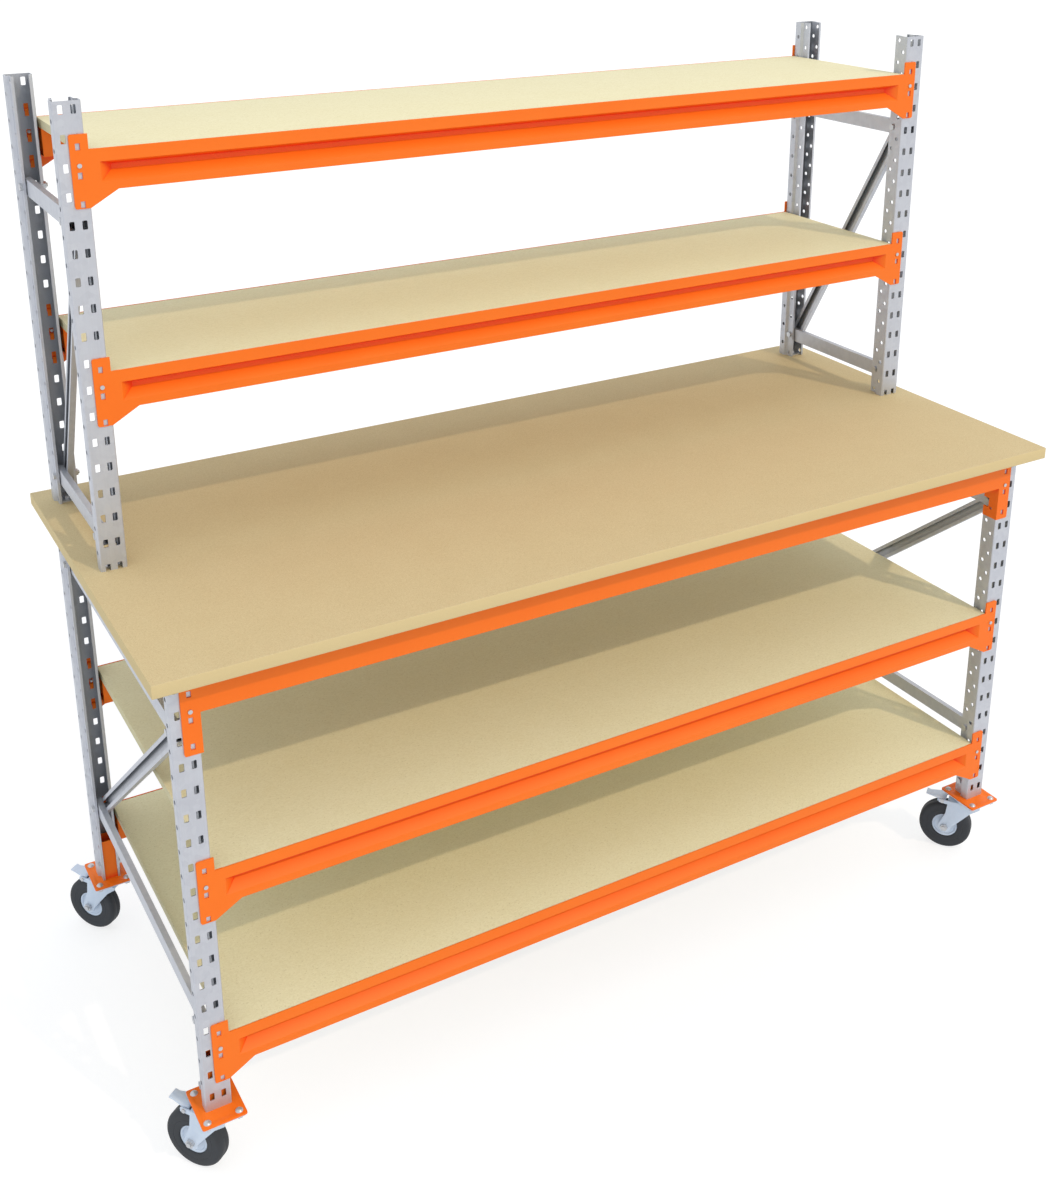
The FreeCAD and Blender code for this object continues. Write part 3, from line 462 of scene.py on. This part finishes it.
# %% Outline of the tyre
def tyre_outline():
    """The tyre's half outline in mm: bead, side wall with a moulded line, round shoulder and tread."""
    tread_radius = 62.5
    half_width = 16.5
    shoulder_radius = 9
    bead_radius = 30.7
    bead_depth = 2
    bead_round_radius = 32
    bead_round_depth = 0.5
    wall_radius = 34
    line_inner = 42.6
    line_outer = 44.8
    line_slope = 0.6
    line_depth = 0.4
    line_floor = line_depth - half_width
    seam_half_width = 0.9
    seam_floor_half_width = 0.4
    seam_depth = 0.3
    outline = [(bead_radius, bead_depth - half_width), (bead_round_radius, bead_round_depth - half_width),
               (wall_radius, -half_width), (line_inner, -half_width), (line_inner + line_slope, line_floor),
               (line_outer - line_slope, line_floor), (line_outer, -half_width)]
    for turn in range(0, 91, 15):
        inwards = shoulder_radius * (1 - math.sin(math.radians(turn)))
        sideways = shoulder_radius * (1 - math.cos(math.radians(turn)))
        outline.append((tread_radius - inwards, sideways - half_width))
    return outline + [(tread_radius, -seam_half_width), (tread_radius - seam_depth, -seam_floor_half_width)]


# %% Outline of the disc
def disc_outline():
    """The disc's half outline in mm: hub with an eased edge, dish, slope and the seat of the tyre."""
    bore_radius = 5.1
    hub_radius = 12.5
    hub_half_width = 18.7
    hub_ease = 0.9
    hub_foot_run = 1.5
    hub_foot_rise = 1.2
    dish_radius = 22.5
    dish_half_width = 10.2
    slope_foot_run = 1.9
    slope_foot_rise = 0.7
    slope_top_run = 1.2
    slope_top_rise = 0.8
    seat_start_radius = 27.2
    seat_radius = 30.4
    seat_half_width = 14
    seat_ease = 0.8
    return [(bore_radius, -hub_half_width), (hub_radius - hub_ease, -hub_half_width),
            (hub_radius, hub_ease - hub_half_width), (hub_radius, -dish_half_width - hub_foot_rise),
            (hub_radius + hub_foot_run, -dish_half_width), (dish_radius, -dish_half_width),
            (dish_radius + slope_foot_run, -dish_half_width - slope_foot_rise),
            (seat_start_radius - slope_top_run, slope_top_rise - seat_half_width),
            (seat_start_radius, -seat_half_width), (seat_radius - seat_ease, -seat_half_width),
            (seat_radius, seat_ease - seat_half_width)]


# %% Turn the first wheel
CORNERS = ("front_left", "front_right", "rear_left", "rear_right")


def both_sides(half):
    """An outline's one half, from the bore outwards, followed by its mirror image."""
    return half + [(radius, -offset) for radius, offset in reversed(half)]


first_tyre = turned("wheel_tyre_turned_" + CORNERS[0], both_sides(tyre_outline()), CORNERS[0])
first_disc = turned("wheel_disc_turned_" + CORNERS[0], both_sides(disc_outline()), CORNERS[0])

# %% Copy the wheel to the other corners
wheel_pieces = {}
first_axle = Vector(joint_of["wheel_spin_" + CORNERS[0]]["pos_m"])
for corner in CORNERS:
    step = Vector(joint_of["wheel_spin_" + corner]["pos_m"]) - first_axle
    for first, node in ((first_tyre, "wheel_tyre_" + corner), (first_disc, "wheel_rim_" + corner)):
        piece = first
        if corner != CORNERS[0]:
            select_only(first)
            bpy.ops.object.duplicate()
            piece = bpy.context.object
            piece.name = first.name.replace(CORNERS[0], corner)
            piece.data.transform(Matrix.Translation(step))
        wheel_pieces[node] = piece
for node, piece in wheel_pieces.items():
    stand_for(piece, node)
print("wheel pieces:", sorted(wheel_pieces))

# %% [markdown]
# ## Softer steel edges
#
# Bent and punched steel has small radii everywhere. The CAD nodes are exact but sharp, and their meshes
# are loose triangles, which shade as facets. So each pressed piece is copied, its triangles are merged
# into whole faces, a narrow bevel rounds what is sharp, and the shading is smoothed up to an angle. The
# copy then stands for the node. The uprights, braces and beams stay as they are: their faces are flat,
# and merged faces with many holes in them would shade badly.

# %% Copy and soften the steel pieces
def softened(node, ease):
    """A copy of a CAD node with merged faces, eased edges and smooth bends."""
    piece = bpy.data.objects.new(node + "_soft", nodes[node].data.copy())
    bpy.context.scene.collection.objects.link(piece)
    select_only(piece)
    bpy.ops.object.mode_set(mode="EDIT")
    bpy.ops.mesh.select_all(action="SELECT")
    bpy.ops.mesh.remove_doubles(threshold=MERGE_DISTANCE)
    bpy.ops.mesh.dissolve_limited(angle_limit=math.radians(0.5))
    select_only(piece)
    bevel = piece.modifiers.new("ease", "BEVEL")
    bevel.width = ease
    bevel.segments = 2
    bevel.limit_method = "ANGLE"
    bevel.angle_limit = math.radians(40)
    bpy.ops.object.modifier_apply(modifier=bevel.name)
    bpy.ops.object.shade_smooth_by_angle(angle=math.radians(35))
    stand_for(piece, node)
    return len(piece.data.polygons)


eases = {"castor_fork": 0.6 * MM, "brake_pedal": 0.6 * MM, "castor_foot": 0.8 * MM}
for start, ease in eases.items():
    faces = [softened(node, ease) for node in sorted(nodes) if node.startswith(start + "_")]
    print(start, len(faces), "pieces", faces[:1], "faces")

# %% [markdown]
# ## Floor and light
#
# A product picture has a white ground and soft light. The floor is pale, and for the camera it is partly
# its own light, so that it reads as white and still keeps the bench's shadow. The sky is white to the
# camera and to reflections. As a lamp it is brightest overhead, like a clouded sky, so the top shelf gets
# more light than the shelves below it, and it is brighter in front of the bench than behind it. One weak
# sun from the front right throws the shadows of the shelves and uprights back over the boards.

# %% Lay the floor
def seen_by_eye(tree):
    """One for rays that reach the camera directly, in a reflection or through glass."""
    path = add_node(tree, "ShaderNodeLightPath")
    either = add_node(tree, "ShaderNodeMath", {"operation": "MAXIMUM"}, {
        0: path.outputs["Is Camera Ray"], 1: path.outputs["Is Glossy Ray"]})
    return add_node(tree, "ShaderNodeMath", {"operation": "MAXIMUM"}, {
        0: either.outputs["Value"], 1: path.outputs["Is Transmission Ray"]}).outputs["Value"]


def studio_floor():
    floor_width = 80
    glow_strength = 0.74
    select_only()
    bpy.ops.mesh.primitive_plane_add(size=floor_width, location=(0, 0, 0))
    floor = bpy.context.object
    floor.name = "studio_floor"
    material = bpy.data.materials.new("studio_paper")
    material.use_nodes = True
    tree = material.node_tree
    tree.nodes.remove(tree.nodes["Principled BSDF"])
    paper = add_node(tree, "ShaderNodeBsdfDiffuse", None, {"Color": hex_colour("#E6E6E6")})
    dim_paper = add_node(tree, "ShaderNodeBsdfDiffuse", None, {"Color": hex_colour("#A0A0A0")})
    glow = add_node(tree, "ShaderNodeEmission", None, {"Color": (1, 1, 1, 1), "Strength": glow_strength})
    bright = add_node(tree, "ShaderNodeAddShader", None, {
        0: dim_paper.outputs["BSDF"], 1: glow.outputs["Emission"]})
    mixed = add_node(tree, "ShaderNodeMixShader", None, {
        0: seen_by_eye(tree), 1: paper.outputs["BSDF"], 2: bright.outputs["Shader"]})
    tree.links.new(mixed.outputs["Shader"], tree.nodes["Material Output"].inputs["Surface"])
    floor.data.materials.append(material)
    print(floor.name, floor_width, "m wide")


studio_floor()

# %% Spread the sky
def studio_sky():
    level_power = 0.71
    overhead_power = 1.18
    behind_share = 0.86
    front_share = 1.08
    world = bpy.data.worlds.new("studio_sky")
    bpy.context.scene.world = world
    world.use_nodes = True
    tree = world.node_tree
    way = add_node(tree, "ShaderNodeTexCoord").outputs["Generated"]
    heading = add_node(tree, "ShaderNodeSeparateXYZ", None, {"Vector": way})
    height_power = add_node(tree, "ShaderNodeMapRange", None, {
        "Value": heading.outputs["Z"], "To Min": level_power, "To Max": overhead_power})
    front_power = add_node(tree, "ShaderNodeMapRange", None, {
        "Value": heading.outputs["Y"], "From Min": 1, "From Max": -1,
        "To Min": behind_share, "To Max": front_share})
    power = add_node(tree, "ShaderNodeMath", {"operation": "MULTIPLY"}, {
        0: height_power.outputs["Result"], 1: front_power.outputs["Result"]})
    lamp = add_node(tree, "ShaderNodeBackground", None, {
        "Color": hex_colour("#F0F7FF"), "Strength": power.outputs["Value"]})
    white = add_node(tree, "ShaderNodeBackground", None, {"Color": (1, 1, 1, 1), "Strength": 1})
    mixed = add_node(tree, "ShaderNodeMixShader", None, {
        0: seen_by_eye(tree), 1: lamp.outputs["Background"], 2: white.outputs["Background"]})
    tree.links.new(mixed.outputs["Shader"], tree.nodes["World Output"].inputs["Surface"])
    print(world.name, "with a power from", level_power, "to", overhead_power)


studio_sky()

# %% Add the sun
def studio_sun():
    sun_power = 0.86
    sun_width = math.radians(1.2)
    sun_place = (0.5, -3, 4)
    sun_way = Vector((-0.4, 1, -1.05))
    select_only()
    bpy.ops.object.light_add(type="SUN", location=sun_place)
    sun = bpy.context.object
    sun.name = "studio_sun"
    sun.data.energy = sun_power
    sun.data.color = hex_colour("#FFE9CC")[:3]
    sun.data.angle = sun_width
    sun.rotation_euler = sun_way.to_track_quat("-Z", "Y").to_euler()
    print(sun.name, "with power", sun_power)


studio_sun()
bpy.context.scene.view_settings.view_transform = "Standard"
bpy.context.scene.cycles.diffuse_bounces = 2

# %% [markdown]
# ## The camera
#
# The camera stands in front of the bench, to its left, and looks down on it from above eye level. Its
# place was worked out from the grid of slots in the uprights. The picture is the lower part of a wider
# frame, so the lens is shifted down.

# %% Set up the camera
IMAGE_HEIGHT = 1200
FOCAL_PIXELS = 1483
CAMERA_PLACE = (-1.5016, -2.5823, 2.3281)
CAMERA_TURN_DEGREES = (71.36, 0.09, -30.1)
LENS_SHIFT = (-0.0152, -0.196)
bpy.ops.object.camera_add(location=CAMERA_PLACE)
camera = bpy.context.object
camera.name = "photo_camera"
camera.rotation_euler = [math.radians(angle) for angle in CAMERA_TURN_DEGREES]
camera.data.sensor_fit = "AUTO"
camera.data.sensor_width = 36
camera.data.lens = FOCAL_PIXELS * camera.data.sensor_width / IMAGE_HEIGHT
camera.data.shift_x, camera.data.shift_y = LENS_SHIFT
bpy.context.scene.camera = camera
print("lens", camera.data.lens, "mm")
